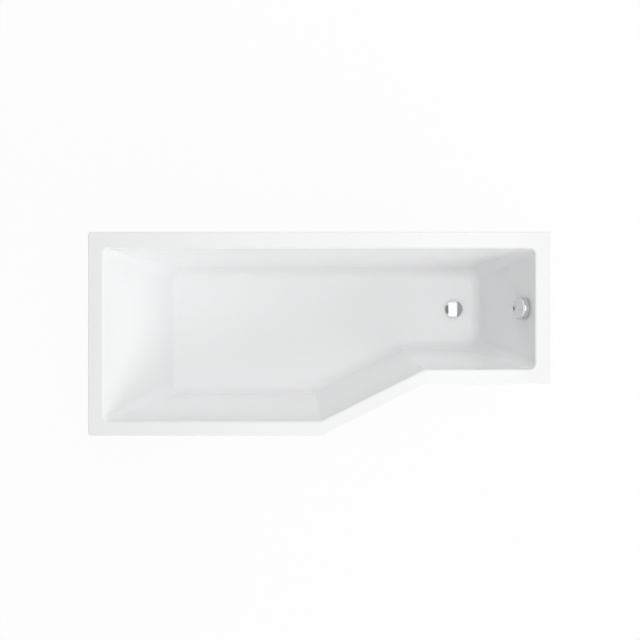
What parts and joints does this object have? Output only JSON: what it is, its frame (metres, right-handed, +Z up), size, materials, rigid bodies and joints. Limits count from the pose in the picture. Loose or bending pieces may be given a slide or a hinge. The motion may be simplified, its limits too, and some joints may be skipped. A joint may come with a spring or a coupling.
{
  "type": "bathtub",
  "caption": "White acrylic bath with a kinked front edge, wide sloping backrest end, narrow waste end, turning overflow knob that lifts the plug, and screw feet.",
  "frame": {"origin": "on the floor, under the middle of the rim's 1700 by 750 mm rectangle", "axes": "+X along the bath to the narrow waste end, +Y to the straight wall side, +Z up"},
  "size_m": [1.7, 0.75, 0.6],
  "materials": {
    "white_acrylic": "glossy white acrylic sheet",
    "glass_fibre": "sprayed glass-fibre laminate, rough",
    "chipboard": "raw chipboard",
    "zinc_steel": "zinc-plated steel",
    "black_plastic": "black moulded plastic",
    "chrome": "bright chrome plate",
    "brass": "turned brass",
    "rubber": "black rubber",
    "white_plastic": "white moulded polypropylene",
    "grey_plastic": "grey extruded hose and cable sheath"
  },
  "bodies": {
    "bath": {"tub_shell": "white_acrylic", "glass_fibre_backing": "glass_fibre", "base_board": "chipboard", "rail_wide": "zinc_steel", "rail_narrow": "zinc_steel", "rail_screws": "zinc_steel", "foot_washers": "zinc_steel", "waste_flange": "chrome", "waste_flange_seal": "rubber", "waste_body_seal": "rubber", "waste_body": "white_plastic", "lever_pin": "zinc_steel", "trap_inlet_nut": "white_plastic", "trap_inlet_seal": "rubber", "trap_bend": "white_plastic", "trap_outlet_nut": "white_plastic", "trap_outlet_seal": "rubber", "outlet_elbow": "white_plastic", "overflow_body": "white_plastic", "overflow_rear_seal": "rubber", "overflow_front_seal": "rubber", "overflow_clamp_plate": "white_plastic", "overflow_screws": "zinc_steel", "overflow_hose": "grey_plastic", "hose_nut_upper": "white_plastic", "hose_nut_lower": "white_plastic", "lift_cable": "grey_plastic"},
    "knob": {"overflow_knob": "chrome", "knob_spindle": "brass"},
    "plug": {"plug_cap": "chrome", "plug_seal": "rubber", "plug_stem": "brass"},
    "lever": {"lift_lever": "white_plastic"},
    "waste_wire": {"waste_cable_end": "zinc_steel"},
    "overflow_wire": {"overflow_cable_end": "zinc_steel"},
    "foot_wide_front": {"foot_pad_wide_front": "black_plastic", "foot_rod_wide_front": "zinc_steel"},
    "nuts_wide_front": {"foot_nuts_wide_front": "zinc_steel"},
    "foot_wide_back": {"foot_pad_wide_back": "black_plastic", "foot_rod_wide_back": "zinc_steel"},
    "nuts_wide_back": {"foot_nuts_wide_back": "zinc_steel"},
    "foot_narrow_front": {"foot_pad_narrow_front": "black_plastic", "foot_rod_narrow_front": "zinc_steel"},
    "nuts_narrow_front": {"foot_nuts_narrow_front": "zinc_steel"},
    "foot_narrow_back": {"foot_pad_narrow_back": "black_plastic", "foot_rod_narrow_back": "zinc_steel"},
    "nuts_narrow_back": {"foot_nuts_narrow_back": "zinc_steel"}
  },
  "joints": [
    {"name": "knob_turn", "type": "hinge", "parent": "bath", "child": "knob", "pos_m": [0.77, 0.095, 0.53], "axis": [-0.9417, 0, 0.3363], "range_deg": [0, 90]},
    {"name": "plug_lift", "type": "slide", "parent": "bath", "child": "plug", "axis": [0, 0, 1], "range_m": [0, 0.01]},
    {"name": "lever_swing", "type": "hinge", "parent": "bath", "child": "lever", "pos_m": [0.56086, 0.07968, 0.123], "axis": [0.766, 0.6428, 0], "range_deg": [0, 28.96]},
    {"name": "waste_wire_pull", "type": "slide", "parent": "bath", "child": "waste_wire", "axis": [0.6428, -0.766, 0], "range_m": [0, 0.00671]},
    {"name": "overflow_wire_pull", "type": "slide", "parent": "bath", "child": "overflow_wire", "axis": [0, 1, 0], "range_m": [0, 0.00671]},
    {"name": "nuts_wide_front_turn", "type": "hinge", "parent": "bath", "child": "nuts_wide_front", "pos_m": [-0.36068, -0.27598, 0.151], "axis": [0, 0, 1], "range_deg": [-1920.1, 7200.1]},
    {"name": "foot_wide_front_set", "type": "slide", "parent": "bath", "child": "foot_wide_front", "axis": [0, 0, 1], "range_m": [-0.03, 0.008]},
    {"name": "nuts_wide_back_turn", "type": "hinge", "parent": "bath", "child": "nuts_wide_back", "pos_m": [-0.36068, 0.28968, 0.151], "axis": [0, 0, 1], "range_deg": [-1920.1, 7200.1]},
    {"name": "foot_wide_back_set", "type": "slide", "parent": "bath", "child": "foot_wide_back", "axis": [0, 0, 1], "range_m": [-0.03, 0.008]},
    {"name": "nuts_narrow_front_turn", "type": "hinge", "parent": "bath", "child": "nuts_narrow_front", "pos_m": [0.4, -0.0972, 0.151], "axis": [0, 0, 1], "range_deg": [-1920.1, 7200.1]},
    {"name": "foot_narrow_front_set", "type": "slide", "parent": "bath", "child": "foot_narrow_front", "axis": [0, 0, 1], "range_m": [-0.03, 0.008]},
    {"name": "nuts_narrow_back_turn", "type": "hinge", "parent": "bath", "child": "nuts_narrow_back", "pos_m": [0.4, 0.28968, 0.151], "axis": [0, 0, 1], "range_deg": [-1920.1, 7200.1]},
    {"name": "foot_narrow_back_set", "type": "slide", "parent": "bath", "child": "foot_narrow_back", "axis": [0, 0, 1], "range_m": [-0.03, 0.008]}
  ],
  "couplings": [
    {"joint": "plug_lift", "follows": "knob_turn", "m_per_rad": 0.0063662},
    {"joint": "lever_swing", "follows": "knob_turn", "ratio": 0.32172},
    {"joint": "waste_wire_pull", "follows": "knob_turn", "m_per_rad": 0.0042737},
    {"joint": "overflow_wire_pull", "follows": "knob_turn", "m_per_rad": 0.0042737},
    {"joint": "nuts_wide_front_turn", "follows": "foot_wide_front_set", "rad_per_m": -4188.8},
    {"joint": "nuts_wide_back_turn", "follows": "foot_wide_back_set", "rad_per_m": -4188.8},
    {"joint": "nuts_narrow_front_turn", "follows": "foot_narrow_front_set", "rad_per_m": -4188.8},
    {"joint": "nuts_narrow_back_turn", "follows": "foot_narrow_back_set", "rad_per_m": -4188.8}
  ]
}
